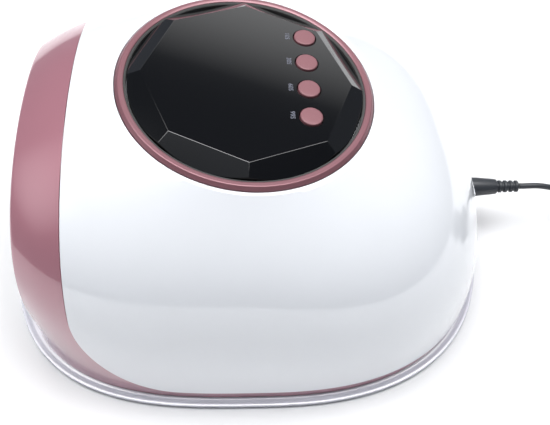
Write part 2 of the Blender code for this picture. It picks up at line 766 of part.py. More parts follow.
def make_lead():
    """The lead drops from the plug to the surface, is wound into a coil, and leaves its top turn for the adapter."""
    rest = CORD_RADIUS + 0.0002
    route = [
        Vector((0.0, PLUG_END_Y, JACK_Z)), Vector((0.0, 0.1410, JACK_Z - 0.0004)),
        Vector((0.0010, 0.1545, 0.0198)), Vector((0.0050, 0.1675, 0.0095)), Vector((0.0115, 0.1800, 0.0028)),
        Vector((0.0185, 0.1920, rest)), Vector((0.0228, 0.2030, rest)), Vector((0.0236, 0.2135, rest)),
    ]
    tube("power_lead", smooth_route(route, 0.0065), CORD_RADIUS, "grey_plastic")
    profile = [
        (COIL_INNER, 0.0002), (COIL_OUTER, 0.0002), (COIL_OUTER, COIL_HEIGHT), (COIL_INNER, COIL_HEIGHT),
    ]
    coil = mesh_object("power_lead_coil", washer(profile, 28), location=(*COIL_CENTRE, 0.0))
    finish(coil, "grey_plastic")
    tail = [
        Vector((0.0232, 0.2190, 0.0108)), Vector((0.0210, 0.2310, 0.0114)), Vector((0.0150, 0.2430, 0.0128)),
        Vector((0.0060, 0.2525, 0.0145)), Vector((0.0, 0.2585, 0.0150)), Vector((0.0, 0.2628, 0.0150)),
    ]
    tube("power_lead_tail", smooth_route(tail, 0.0065), CORD_RADIUS, "grey_plastic")


def make_adapter():
    x, y = ADAPTER_CENTRE
    half_x, half_y = ADAPTER_SIZE[0] / 2, ADAPTER_SIZE[1] / 2
    low = (x - half_x, y - half_y, 0.0002)
    high = (x + half_x, y + half_y, ADAPTER_SIZE[2])
    body = mesh_object("power_adapter", cuboid(low, high))
    bevel = body.modifiers.new("rounded edges", "BEVEL")
    bevel.width = 0.004
    bevel.segments = 3
    relief = turned([(0.0030, 0.2636), (0.0030, y - half_y + 0.001)], 16)
    join(body, helper("adapter_relief", along_y(relief, 0.0150)))
    slots = [
        cuboid((s * 0.00635 - 0.0010, y + half_y - 0.006, 0.0115), (s * 0.00635 + 0.0010, 0.4, 0.0185))
        for s in (-1, 1)
    ]
    cut(body, helper("blade_slots", several(slots)))
    finish(body, "black_plastic")
    for side, s in (("left", -1), ("right", 1)):
        blade = cuboid(
            (s * 0.00635 - 0.0007, y + half_y - 0.0055, 0.0118), (s * 0.00635 + 0.0007, y + half_y + 0.0170, 0.0182)
        )
        finish(mesh_object(f"adapter_blade_{side}", blade), "steel")


def make_internal_wires():
    jack_wire = [
        Vector((0.0, 0.0840, JACK_Z)), Vector((0.0, 0.0830, JACK_Z)), Vector((0.0, 0.0822, JACK_Z + 0.0012)),
        Vector((0.0, 0.0818, 0.0330)), Vector((0.0, 0.0805, 0.0470)), Vector((0.0, 0.0712, 0.0620)),
        Vector((0.0, 0.0532, 0.0720)), Vector((0.0, 0.0402, 0.0770)), Vector((0.0, 0.0352, 0.0800)),
    ]
    tube("socket_wire", smooth_route(jack_wire, 0.006), 0.0009, "black_plastic")


display_frame = None


def main():
    global display_frame
    clear_scene()
    display_frame = add_empty("display_frame", DISPLAY_CENTRE, (-DISPLAY_TILT, 0, 0))
    make_upper_shell()
    make_inner_housing()
    make_reflector()
    make_led_boards()
    make_hand_sensor()
    make_bezel()
    make_lens()
    make_buttons()
    make_control_board()
    make_timer_display()
    make_base_tray()
    make_feet()
    make_magnets()
    make_screws()
    make_socket()
    make_plug()
    make_internal_wires()
    make_lead()
    make_adapter()


main()
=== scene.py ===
"""Looks of the UV LED nail lamp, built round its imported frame.

Metres, +Z up. The hand opening faces -Y, the lead leaves towards +Y, and the lamp rests on z = 0.
"""

import json
from math import cos, hypot, pi, radians, sin, tanh

import bmesh
import bpy
from mathutils import Matrix, Vector


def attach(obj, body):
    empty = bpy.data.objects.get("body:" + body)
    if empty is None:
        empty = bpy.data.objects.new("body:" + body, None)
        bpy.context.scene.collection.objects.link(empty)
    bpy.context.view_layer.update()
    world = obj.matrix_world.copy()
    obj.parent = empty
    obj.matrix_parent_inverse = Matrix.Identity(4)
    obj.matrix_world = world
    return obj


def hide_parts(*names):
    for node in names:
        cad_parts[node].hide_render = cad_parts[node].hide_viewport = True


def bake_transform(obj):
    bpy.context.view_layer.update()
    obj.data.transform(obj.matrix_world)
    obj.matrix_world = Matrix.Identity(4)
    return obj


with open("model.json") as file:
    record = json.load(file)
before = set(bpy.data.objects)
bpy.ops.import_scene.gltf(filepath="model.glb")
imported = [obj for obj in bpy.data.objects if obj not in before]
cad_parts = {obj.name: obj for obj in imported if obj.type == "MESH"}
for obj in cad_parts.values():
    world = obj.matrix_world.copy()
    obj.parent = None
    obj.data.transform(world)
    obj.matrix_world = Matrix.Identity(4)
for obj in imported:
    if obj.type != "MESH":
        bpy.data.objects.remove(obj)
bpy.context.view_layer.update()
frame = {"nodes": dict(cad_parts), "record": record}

GAP = 0.0003  # clearance between neighbouring parts

# Body outline and dome
HALF_WIDTH = 0.0937
DEPTH = 0.1062
FRONT_POWER = 2.96
REAR_POWER = 2.66
FOOT_Z = 0.0100
DISC_CENTRE = Vector((0.0, -0.0007, 0.0969))
DISC_TILT = radians(6.9)
DISC_RADIUS = 0.0542
FOOT_HANDLE = 0.65
TOP_HANDLE = 0.44
TOP_SLOPE = 0.41
BROW = 0.118
FRONT = -pi / 2
SWING = radians(74)  # turn round the foot that a ray of reach 1 along it makes

# Front arch and the shell's edge
ARCH_DEPTH = 0.0928
ARCH_HALF_WIDTH = HALF_WIDTH + 0.02
ARCH_POWER = 7.0
ARCH_LIP = 0.0026
SHELL_FRONT_Y = -0.0713
SWEEP_Y, SWEEP_Z = -0.0298, 0.0500
SHELL_THICKNESS = 0.0022
SHELL_EDGE_RADIUS = 0.0005
SHELL_COLUMNS = 420
SHELL_ROWS = 70
BAND_RECESS = 0.0008
BAND_UNDER = SHELL_THICKNESS + GAP
BAND_INNER = 0.0045
BAND_FOOT_Z = 0.0045
CORNER_RADIUS = 0.0012
LIP_RADIUS = 0.0009

# Screws and magnets, at angles round the body's outline
SCREW_ANGLES = [radians(a) for a in (-14, 48, 132, 194)]
SCREW_INSET = 0.0072
MAGNET_ANGLES = [radians(a) for a in (-27, 12, 168, 207)]
MAGNET_INSET = 0.0068

# Hand cavity
CAVITY_SIZES = (0.0822, 0.1078, 0.0782)  # half width, front, rear
CAVITY_TOP_Z = 0.0760
CAVITY_TOP_RADIUS = 0.0430
CAVITY_TOP_Y = -0.0078
LINER_THICKNESS = 0.0016
LINER_FOOT_Z = 0.0050

# Boards behind the liner, and the places of their lamp beads
BOARD_GAP = 0.0006
BOARD_THICKNESS = 0.0012
STRIP_SHARE = 0.34  # how far up the wall a strip lies
SIDE_STRIP_SIZE = (0.0880, 0.0120)
REAR_STRIP_SIZE = (0.0760, 0.0120)
TOP_BOARD_SIZE = (0.0780, 0.0640)
TOP_BOARD_Y = -0.006
BEAD_RADIUS = 0.0021
TOP_LEDS = [(x, y) for x in (-0.030, -0.010, 0.010, 0.030) for y in (-0.034, -0.010, 0.014)]
SIDE_LEDS = [(-0.034 + 0.017 * i, 0.0) for i in range(5)]
REAR_LEDS = [(-0.030 + 0.020 * i, 0.0) for i in range(4)]

# Display, in its own tilted frame
DISPLAY = Matrix.Translation(DISC_CENTRE) @ Matrix.Rotation(-DISC_TILT, 4, "X")
SEAT_RADIUS = 0.0526
SEAT_DEPTH = 0.0036
LENS_RADIUS = 0.0474
TABLE_RADIUS = 0.0425
TABLE_HEIGHT = 0.0046
LENS_RIM_DROP = 0.0004
BUTTONS = {10: -0.0253, 30: -0.0107, 60: 0.0039, 99: 0.0185}  # seconds: x
BUTTON_Y = 0.0247
BUTTON_RADIUS = 0.0045
BUTTON_RAISE = 0.0008
BUTTON_CLEARANCE = 0.0004
LABEL_SIZE = 0.0027
LABEL_SHIFT = (-0.0004, -0.0074)
LABEL_LIFT = 0.00003

# Socket, plug and lead
JACK_Z = 0.0250
JACK_FLOOR_Y = 0.1017
CORD_RADIUS = 0.0014
CORD_REST = CORD_RADIUS + 0.0002
PLUG_END_Y = JACK_FLOOR_Y + 0.0275
COIL_CENTRE = Vector((0.0, 0.2150, 0.0))
COIL_INNER_TURN = 0.0134
COIL_PITCH = 0.0031
COIL_ROW = 0.0030
COIL_TURNS = 11
ADAPTER_CENTRE = (0.0, 0.3080)
ADAPTER_SIZE = (0.0460, 0.0760, 0.0300)
ADAPTER_CORNER = 0.0070
ADAPTER_CORD_Z = ADAPTER_SIZE[2] / 2
BLADE_OFFSET = 0.00635
BLADE_LENGTH = 0.0170


# ---------------------------------------------------------------- materials


def plastic(name, colour, roughness, metallic=0.0, coat=0.0, coat_ior=1.5, tint=0.03, bump=0.0,
            bump_scale=1800.0):
    """A moulded surface: fine roughness and colour variation, and a surface grain where bump is set."""
    fine_scale, cloud_scale = 1400.0, 30.0
    variation = 0.10
    mat = bpy.data.materials.new(name)
    mat.use_nodes = True
    nodes, links = mat.node_tree.nodes, mat.node_tree.links
    shader = nodes["Principled BSDF"]
    shader.inputs["Metallic"].default_value = metallic
    shader.inputs["IOR"].default_value = 1.5
    shader.inputs["Coat Weight"].default_value = coat
    shader.inputs["Coat IOR"].default_value = coat_ior
    shader.inputs["Coat Roughness"].default_value = 0.03
    place = nodes.new("ShaderNodeTexCoord")

    def noise(scale, detail):
        node = nodes.new("ShaderNodeTexNoise")
        node.inputs["Scale"].default_value = scale
        node.inputs["Detail"].default_value = detail
        links.new(place.outputs["Object"], node.inputs["Vector"])
        return node

    rough = nodes.new("ShaderNodeMapRange")
    rough.inputs["To Min"].default_value = roughness * (1 - variation)
    rough.inputs["To Max"].default_value = roughness * (1 + variation)
    links.new(noise(fine_scale, 3.0).outputs["Fac"], rough.inputs["Value"])
    links.new(rough.outputs["Result"], shader.inputs["Roughness"])
    ramp = nodes.new("ShaderNodeValToRGB")
    ramp.color_ramp.elements[0].position = 0.3
    ramp.color_ramp.elements[1].position = 0.7
    ramp.color_ramp.elements[0].color = (*(c * (1 - tint) for c in colour), 1.0)
    ramp.color_ramp.elements[1].color = (*(min(1.0, c * (1 + tint)) for c in colour), 1.0)
    links.new(noise(cloud_scale, 2.0).outputs["Fac"], ramp.inputs["Fac"])
    links.new(ramp.outputs["Color"], shader.inputs["Base Color"])
    if bump:
        relief = nodes.new("ShaderNodeBump")
        relief.inputs["Strength"].default_value = bump
        relief.inputs["Distance"].default_value = 0.0001
        links.new(noise(bump_scale, 4.0).outputs["Fac"], relief.inputs["Height"])
        links.new(relief.outputs["Normal"], shader.inputs["Normal"])
    return mat


WHITE = plastic("gloss_white", (0.84, 0.865, 0.905), 0.30, coat=1.0, coat_ior=1.8, tint=0.008)
ROSE = plastic("rose", (0.43, 0.19, 0.235), 0.32, metallic=0.25, coat=1.0, coat_ior=1.7, tint=0.02)
BUTTON_ROSE = plastic("button_rose", (0.235, 0.10, 0.115), 0.42, metallic=0.1, bump=0.15, tint=0.02)
ROSE_METAL = plastic("rose_metal", (0.24, 0.105, 0.125), 0.38, metallic=0.35, coat=0.3, tint=0.03, bump=0.08)
BLACK_GLOSS = plastic("black_gloss", (0.0035, 0.004, 0.005), 0.12, coat=1.0, tint=0.0)
PEARL = plastic("pearl", (0.68, 0.68, 0.76), 0.22, coat=1.0, coat_ior=1.6, tint=0.01)
MIRROR = plastic("mirror_lining", (0.86, 0.87, 0.89), 0.10, metallic=1.0, tint=0.01)
BOARD_WHITE = plastic("board_white", (0.78, 0.80, 0.78), 0.5, bump=0.1)
BOARD_GREEN = plastic("board_green", (0.02, 0.13, 0.05), 0.45, bump=0.1)
LED_DOME = plastic("led_dome", (0.80, 0.72, 0.42), 0.12, coat=0.6, tint=0.02)
BLACK_PLASTIC = plastic("black_plastic", (0.018, 0.018, 0.020), 0.42, bump=0.35, bump_scale=1500.0)
GREY_PLASTIC = plastic("grey_plastic", (0.030, 0.033, 0.040), 0.42, bump=0.2)
CORD_GREY = plastic("cord_grey", (0.035, 0.038, 0.045), 0.38, bump=0.1)
WIRE_BLACK = plastic("wire_black", (0.02, 0.02, 0.02), 0.5, bump=0.1)
STEEL = plastic("steel", (0.62, 0.61, 0.60), 0.28, metallic=1.0, bump=0.1)
RUBBER = plastic("rubber", (0.06, 0.06, 0.06), 0.75, bump=0.5, bump_scale=1200.0)
PRINT = plastic("print_grey", (0.17, 0.18, 0.23), 0.5, tint=0.02)
MATERIALS = {
    "rose": ROSE, "rose_metal": ROSE_METAL, "black_gloss": BLACK_GLOSS, "pearl": PEARL,
    "mirror_lining": MIRROR, "board_white": BOARD_WHITE, "board_green": BOARD_GREEN,
    "black_plastic": BLACK_PLASTIC, "grey_plastic": GREY_PLASTIC, "cord_grey": CORD_GREY,
    "wire_black": WIRE_BLACK, "steel": STEEL, "rubber": RUBBER, "gloss_white": WHITE,
}


# ---------------------------------------------------------------- pieces


def place_piece(obj, body, nodes=()):
    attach(obj, body)
    if nodes:
        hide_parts(*nodes)
    return obj


def mesh_of(name, shapes, sharp=40.0, matrix=None):
    """A linked mesh object from (points, faces) shapes, welded where they meet and facing out."""
    work = bmesh.new()
    for points, faces in shapes:
        corners = [work.verts.new(matrix @ Vector(p) if matrix else p) for p in points]
        for face in faces:
            work.faces.new([corners[i] for i in face])
    bmesh.ops.remove_doubles(work, verts=work.verts, dist=1e-6)
    bmesh.ops.recalc_face_normals(work, faces=work.faces)
    mesh = bpy.data.meshes.new(name)
    work.to_mesh(mesh)
    work.free()
    mesh.shade_smooth()
    mesh.set_sharp_from_angle(angle=radians(sharp))
    obj = bpy.data.objects.new(name, mesh)
    bpy.context.scene.collection.objects.link(obj)
    return obj


def make_piece(name, shapes, mat, body, nodes=(), sharp=40.0, matrix=None):
    obj = mesh_of(name, shapes, sharp, matrix)
    obj.data.materials.append(mat)
    return place_piece(obj, body, nodes)


def skin(rows, around=True, tube=False):
    """Quads through rows of equal length: around closes each row, tube joins the last row to the first."""
    count = len(rows[0])
    points = [p for row in rows for p in row]
    faces = []
    for r in range(len(rows) if tube else len(rows) - 1):
        s = (r + 1) % len(rows)
        for i in range(count if around else count - 1):
            j = (i + 1) % count
            faces.append((r * count + i, r * count + j, s * count + j, s * count + i))
    return points, faces


def capped(rows):
    """A closed solid through closed rows, with a flat face at each end."""
    points, faces = skin(rows)
    count = len(rows[0])
    faces.append(tuple(range(count))[::-1])
    faces.append(tuple(len(points) - count + i for i in range(count)))
    return points, faces


def ring(radius, z, steps, centre=(0.0, 0.0)):
    turn = 2 * pi / steps
    return [(centre[0] + radius * cos(i * turn), centre[1] + radius * sin(i * turn), z) for i in range(steps)]


def turned(profile, steps=64, centre=(0.0, 0.0)):
    """A solid of revolution about Z from (radius, z) pairs."""
    return capped([ring(r, z, steps, centre) for r, z in profile])


def washer(profile, steps=64, centre=(0.0, 0.0)):
    """A ring about Z from a closed loop of (radius, z) pairs."""
    return skin([ring(r, z, steps, centre) for r, z in profile], tube=True)


def box(low, high):
    (x0, y0, z0), (x1, y1, z1) = low, high
    bottom = [(x0, y0, z0), (x1, y0, z0), (x1, y1, z0), (x0, y1, z0)]
    return capped([bottom, [(x, y, z1) for x, y, _ in bottom]])


def moved(shape, matrix):
    points, faces = shape
    return [matrix @ Vector(p) for p in points], faces


def along_y(shape, z=JACK_Z):
    """Lays a solid about Z down, so that its axis runs along +Y at height z."""
    return moved(shape, Matrix.Translation((0, 0, z)) @ Matrix.Rotation(-pi / 2, 4, "X"))


def cut_away(obj, name, shapes, matrix=None, sharp=35.0):
    """Cuts closed shapes out of the object's own mesh, and keeps its flat faces evenly shaded."""
    cutter = mesh_of(name, shapes, matrix=matrix)
    modifier = obj.modifiers.new(name, "BOOLEAN")
    modifier.operation = "DIFFERENCE"
    modifier.object = cutter
    bpy.context.view_layer.update()
    evaluated = obj.evaluated_get(bpy.context.evaluated_depsgraph_get())
    made = bpy.data.meshes.new_from_object(evaluated)
    obj.modifiers.clear()
    obj.data = made
    made.shade_smooth()
    made.set_sharp_from_angle(angle=radians(sharp))
    bpy.data.objects.remove(cutter, do_unlink=True)
    even = obj.modifiers.new("flat faces stay flat", "WEIGHTED_NORMAL")
    even.keep_sharp = True
    return obj


def bevelled(obj, width, segments=3, angle=30.0):
    modifier = obj.modifiers.new("rounded edges", "BEVEL")
    modifier.width = width
    modifier.segments = segments
    modifier.limit_method = "ANGLE"
    modifier.angle_limit = radians(angle)
    modifier.harden_normals = True
    return obj


# ---------------------------------------------------------------- camera


def make_camera():
    camera = bpy.data.objects.new("camera", bpy.data.cameras.new("camera"))
    bpy.context.scene.collection.objects.link(camera)
    target = Vector((0.0, -0.0008, 0.0450))
    camera.location = (0.2193, -0.0047, 0.3303)
    camera.rotation_euler = (target - camera.location).to_track_quat("-Z", "Y").to_euler()
    camera.data.lens = 51.9
    camera.data.sensor_width = 36.0
    camera.data.shift_x = 0.0535
    camera.data.shift_y = -0.0876
    camera.data.clip_start = 0.01
    bpy.context.scene.camera = camera


make_camera()


# ---------------------------------------------------------------- lead


def smooth_through(corners, steps=12):
    """Points along a Catmull-Rom curve through the corners."""
    ends = [2 * corners[0] - corners[1], *corners, 2 * corners[-1] - corners[-2]]
    fine = []
    for a, b, c, d in zip(ends, ends[1:], ends[2:], ends[3:]):
        linear, square, cubic = c - a, 2 * a - 5 * b + 4 * c - d, 3 * b - a - 3 * c + d
        for k in range(steps):
            t = k / steps
            fine.append(0.5 * (2 * b + linear * t + square * t * t + cubic * t**3))
    return fine + [corners[-1]]


def tube_rows(points, radius, sides):
    """Rings round a path, each turned as little as possible from the one before."""
    rows = []
    turns = [2 * pi * k / sides for k in range(sides)]
    side = Vector((1.0, 0.0, 0.0))
    for i, p in enumerate(points):
        along = (points[min(i + 1, len(points) - 1)] - points[max(i - 1, 0)]).normalized()
        side = (side - along * side.dot(along)).normalized()
        up = along.cross(side)
        rows.append([p + (side * cos(a) + up * sin(a)) * radius for a in turns])
    return rows


def ease(x):
    """A smooth step from 0 to 1."""
    x = min(1.0, max(0.0, x))
    return x * x * (3 - 2 * x)


def coil_points(first, last):
    """Eleven turns in three columns and four rows, from the outer bottom turn to the outer top one.

    Each row is crossed outwards or inwards, and each row's own crossings lie a third of a turn before the
    last row's, so that no turn meets the one below as it climbs.
    """
    # Degrees where each crossing or climb begins, and the column and row that it leads to
    moves = [
        (300, 1, 0), (660, 0, 0), (960, 0, 1), (1260, 1, 1), (1620, 2, 1), (1920, 2, 2), (2220, 1, 2),
        (2580, 0, 2), (2880, 0, 3), (3180, 1, 3), (3540, 2, 3),
    ]
    outer = COIL_INNER_TURN + 2 * COIL_PITCH
    in_radius = (first - COIL_CENTRE).xy.length
    out_radius = (last - COIL_CENTRE).xy.length
    arriving, moving, leaving = 75, 60, 90  # degrees that each takes
    step = 8
    end = 360 * COIL_TURNS
    points = []
    for degrees in range(step // 2, end - step // 2, step):
        radius = in_radius + (outer - in_radius) * ease(degrees / arriving)
        height = CORD_REST
        for begin, column, row in moves:
            if degrees > begin:
                share = ease((degrees - begin) / moving)
                radius += (COIL_INNER_TURN + column * COIL_PITCH - radius) * share
                height += (CORD_REST + row * COIL_ROW - height) * share
        share = ease((degrees - end + leaving) / leaving)
        radius += (out_radius - outer) * share
        height += (last.z - height) * share
        angle = radians(degrees)
        points.append(COIL_CENTRE + Vector((radius * cos(angle), radius * sin(angle), height)))
    return points


def make_lead():
    """The lead from the plug down to the floor, round the coil, and up into the adapter."""
    entry = [
        (0.0, PLUG_END_Y, JACK_Z), (0.0, 0.1410, JACK_Z - 0.0004), (0.0010, 0.1545, 0.0198),
        (0.0050, 0.1675, 0.0095), (0.0115, 0.1800, 0.0028), (0.0185, 0.1920, CORD_REST),
        (0.0228, 0.2030, CORD_REST), (0.0236, 0.2135, CORD_REST),
    ]
    tail = [
        (0.0232, 0.2190, 0.0108), (0.0210, 0.2310, 0.0114), (0.0150, 0.2430, 0.0128),
        (0.0060, 0.2525, 0.0145), (0.0, 0.2585, ADAPTER_CORD_Z), (0.0, 0.2628, ADAPTER_CORD_Z),
        (0.0, 0.2850, ADAPTER_CORD_Z), (0.0, ADAPTER_CENTRE[1], ADAPTER_CORD_Z),
    ]
    entry = [Vector(p) for p in entry]
    tail = [Vector(p) for p in tail]
    points = smooth_through(entry) + coil_points(entry[-1], tail[0]) + smooth_through(tail)
    obj = mesh_of("lead", [capped(tube_rows(points, CORD_RADIUS, 14))], sharp=60)
    obj.data.materials.append(CORD_GREY)
    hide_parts("power_lead", "power_lead_coil", "power_lead_tail")
    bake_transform(obj)
    return obj, points


def make_plug():
    """A pin in the socket, a head against its face, and four ribs down to the lead."""
    face = JACK_FLOOR_Y + 0.0004
    ribs = JACK_FLOOR_Y + 0.0165
    neck = 0.0022
    rib_count, rib_step = 4, 0.0026
    profile = [
        (0.0012, face - 0.0115), (0.0012, face - 0.0120), (0.0025, face - 0.0120), (0.00275, face - 0.0117),
        (0.00275, face), (0.0037, face), (0.0042, face + 0.0002), (0.0045, face + 0.0006),
        (0.0045, face + 0.0050), (0.0044, face + 0.0070), (0.0036, ribs - 0.0008), (0.0034, ribs - 0.0002),
        (neck, ribs),
    ]
    for i in range(rib_count):
        y = ribs + rib_step * i
        size = 0.00295 - 0.00006 * i
        profile += [
            (neck, y + 0.0001), (neck, y + 0.0007), (size - 0.0003, y + 0.0008), (size, y + 0.0011),
            (size, y + 0.0021), (size - 0.0003, y + 0.0024),
        ]
    tip = ribs + rib_count * rib_step
    profile += [(neck, tip - 0.0001), (0.0016, tip)]
    return make_piece(
        "plug", [along_y(turned(profile, 72))], GREY_PLASTIC, "lamp", ("dc_plug",), sharp=32
    )


def make_adapter():
    x, y = ADAPTER_CENTRE
    half_x, half_y = ADAPTER_SIZE[0] / 2, ADAPTER_SIZE[1] / 2
    height = ADAPTER_SIZE[2]
    seam = 0.0004
    # A box with round corners, rounded in at its foot and top, with a parting line round its middle
    levels = [
        (0.0040, 0.0002), (0.0022, 0.0005), (0.0010, 0.0014), (0.0004, 0.0030), (0.0, height / 2 - seam),
        (seam, height / 2), (0.0, height / 2 + seam), (0.0004, height - 0.0030), (0.0010, height - 0.0014),
        (0.0022, height - 0.0004), (0.0040, height),
    ]
    corner_steps = 8
    rows = []
    for inset, z in levels:
        radius = ADAPTER_CORNER - inset
        row = []
        for quarter, (sign_x, sign_y) in enumerate(((1, 1), (-1, 1), (-1, -1), (1, -1))):
            centre_x = x + sign_x * (half_x - ADAPTER_CORNER)
            centre_y = y + sign_y * (half_y - ADAPTER_CORNER)
            for k in range(corner_steps + 1):
                a = pi / 2 * (quarter + k / corner_steps)
                row.append((centre_x + radius * cos(a), centre_y + radius * sin(a), z))
        rows.append(row)
    body = mesh_of("adapter", [capped(rows)], sharp=50)
    body.data.materials.append(BLACK_PLASTIC)
    blades = [
        box((s * BLADE_OFFSET - 0.0009, y + half_y - 0.006, 0.0116), (s * BLADE_OFFSET + 0.0009, 0.4, 0.0184))
        for s in (-1, 1)
    ]
    panel = [box((x - 0.0150, y - 0.0260, height - 0.0003), (x + 0.0150, y + 0.0180, 0.05))]
    cut_away(body, "blade_slots", blades)
    cut_away(body, "label_panel", panel)
    place_piece(body, "base", ("power_adapter",))
    # The ribbed collar that the lead enters by, as (radius, y)
    relief = [(0.0015, 0.2636), (0.0022, 0.2637)]
    for i in range(2):
        near = 0.2640 + i * 0.0026
        relief += [(0.0024 + i * 0.0002, near), (0.0024 + i * 0.0002, near + 0.0014)]
        relief += [(0.0020, near + 0.0016), (0.0020, near + 0.0024)]
    relief += [(0.0030, 0.2694), (0.0030, 0.2706)]
    collar = make_piece(
        "adapter_relief", [along_y(turned(relief, 40), ADAPTER_CORD_Z)], GREY_PLASTIC, "base",
        sharp=32,
    )
    pieces = [body, collar]
    for side, s in (("left", -1), ("right", 1)):
        half_width, tip_radius, half_thickness = 0.0032, 0.0016, 0.0007
        root = y + half_y - 0.0055
        tip = y + half_y + BLADE_LENGTH
        outline = [(-half_width, root), (half_width, root)]
        outline += [(half_width - tip_radius * (1 - cos(a)), tip - tip_radius + tip_radius * sin(a))
                    for a in (0, pi / 8, pi / 4, 3 * pi / 8, pi / 2)]
        outline += [(-px, py) for px, py in outline[:1:-1]]
        rows = [
            [(s * BLADE_OFFSET + dx, py, ADAPTER_CORD_Z + px) for px, py in outline]
            for dx in (-half_thickness, half_thickness)
        ]
        blade = mesh_of(f"blade_{side}", [capped(rows)], sharp=30)
        centre = Matrix.Translation((s * BLADE_OFFSET, tip - 0.0045, ADAPTER_CORD_Z))
        hole = turned([(0.0013, -0.002), (0.0013, 0.002)], 24)
        cut_away(blade, f"blade_hole_{side}", [moved(hole, centre @ Matrix.Rotation(pi / 2, 4, "Y"))])
        blade.data.materials.clear()
        blade.data.materials.append(STEEL)
        bevelled(blade, 0.00015, 2)
        pieces.append(place_piece(blade, "base", (f"adapter_blade_{side}",)))
    return pieces


lead, lead_path = make_lead()
plug = make_plug()
adapter_pieces = make_adapter()


# ---------------------------------------------------------------- body curves


def outline_point(angle, width, front, rear):
    """A point of a rounded outline in plan, fuller at its front than at its rear."""
    c, s = cos(angle), sin(angle)
    frontness = 0.5 - 0.5 * tanh(3 * s)
    power = FRONT_POWER * frontness + REAR_POWER * (1 - frontness)
    depth = front if s < 0 else rear
    reach = (abs(c / width) ** power + abs(s / depth) ** power) ** (-1 / power)
    return reach * c, reach * s


def inset_point(angle, inset):
    """A point inside the body's outline at its foot."""
    return outline_point(angle, HALF_WIDTH - inset, DEPTH - inset, DEPTH - inset)


def disc_point(angle, radius, drop):
    """A point round the middle of the tilted top, drop below it."""
    y = radius * sin(angle)
    return Vector((
        radius * cos(angle),
        DISC_CENTRE.y + y * cos(DISC_TILT) - drop * sin(DISC_TILT),
        DISC_CENTRE.z - y * sin(DISC_TILT) - drop * cos(DISC_TILT),
    ))


def wall_point(foot, top, angle, t):
    """A point of a wall that rises from its foot and curves over to its top, t from 0 to 1."""
    inward = 3 * (1 - t) * t * t * (1 - TOP_HANDLE) + t**3
    upward = 3 * (1 - t) ** 2 * t * FOOT_HANDLE + 3 * (1 - t) * t * t * (1 - TOP_SLOPE * TOP_HANDLE) + t**3
    frontness = max(0.0, -sin(angle)) ** 1.5
    lean = BROW * frontness * upward**2 * max(0.0, 1 - upward) ** 0.8
    return Vector((
        foot[0] + (top[0] - foot[0]) * inward,
        foot[1] + (top[1] - foot[1]) * inward - lean,
        FOOT_Z + (top[2] - FOOT_Z) * upward,
    ))


def body_point(angle, t, inset=0.0):
    return wall_point(inset_point(angle, inset), disc_point(angle, DISC_RADIUS, inset), angle, t)


def cavity_point(angle, t, inset=0.0):
    foot = outline_point(angle, *(size - inset for size in CAVITY_SIZES))
    r = CAVITY_TOP_RADIUS
    top = (r * cos(angle), r * sin(angle) + CAVITY_TOP_Y, CAVITY_TOP_Z - inset)
    return wall_point(foot, top, angle, t)


def edge_level(p, grow):
    """Below 0 behind the white shell's edge, moved forward and down by grow."""
    dy = max(0.0, SWEEP_Y - p.y) / (SWEEP_Y - SHELL_FRONT_Y + grow)
    dz = max(0.0, SWEEP_Z - p.z) / (SWEEP_Z - FOOT_Z + grow)
    return hypot(dy, dz) - 1


def arch_level(p, back):
    """Below 0 behind the arch's face, moved rearwards by back."""
    depth = ARCH_DEPTH - back
    reach = abs(p.x / ARCH_HALF_WIDTH) ** ARCH_POWER + (max(0.0, -p.y) / depth) ** ARCH_POWER
    return reach ** (1 / ARCH_POWER) - 1


def crossing(level, low=0.0, high=1.0):
    """Where level first falls below 0, between low and high."""
    if level(low) < 0:
        return low
    step = (high - low) / 24
    while low + step < high and level(low + step) >= 0:
        low += step
    high = low + step
    for _ in range(30):
        middle = (low + high) / 2
        if level(middle) < 0:
            high = middle
        else:
            low = middle
    return high


def even_shares(spots, count, gaps):
    """(k, share) pairs for count places along a line of spots, with gaps of them filling its length."""
    reach = [0.0]
    for here, there in zip(spots, spots[1:]):
        reach.append(reach[-1] + (there - here).length)
    found, k = [], 0
    for i in range(count):
        goal = reach[-1] * i / gaps
        while k < len(reach) - 2 and reach[k + 1] < goal:
            k += 1
        found.append((k, (goal - reach[k]) / max(1e-12, reach[k + 1] - reach[k])))
    return found


def even_places(curve, start, stop, count):
    """Parameter values from start to stop that are evenly spaced along the curve."""
    fine = 1200
    values = [start + (stop - start) * k / fine for k in range(fine + 1)]
    spots = [curve(v) for v in values]
    return [
        values[k] + (values[k + 1] - values[k]) * share for k, share in even_shares(spots, count, count - 1)
    ]


def ray(psi, reach):
    """(angle, t) on a ray from the middle of the front's foot: psi 0 runs along the foot towards +X."""
    return FRONT + reach * cos(psi) * SWING, reach * sin(psi)


def edge_places(point, level, count, lowest=0.0):
    """Even (angle, t) places round a wall's lower edge, from the middle of its front.

    level cuts the wall back, and lowest is the psi of the first ray, just over the foot.
    """
    steps = 500

    def in_front(psi):
        return ray(psi, crossing(lambda s: level(point(*ray(psi, s)))))

    right = [in_front(pi / 2 + (lowest - pi / 2) * k / steps) for k in range(steps + 1)]
    corner = right[-1][0]
    track = list(right)
    for k in range(1, steps):
        angle = corner + (pi - 2 * corner) * k / steps
        track.append((angle, crossing(lambda t: level(point(angle, t)))))
    track += [(pi - angle, t) for angle, t in reversed(right)]
    spots = [point(*place) for place in track]
    return [
        tuple(u + (v - u) * share for u, v in zip(track[k], track[k + 1]))
        for k, share in even_shares(spots, count, count)
    ]


def between(place, top_angle, share):
    """A place on the way from a wall's edge, at share 0, to its top, at share 1."""
    return place[0] + (top_angle - place[0]) * share, place[1] + (1 - place[1]) * share


def top_angles(count):
    return [FRONT + 2 * pi * i / count for i in range(count)]


# ---------------------------------------------------------------- white shell


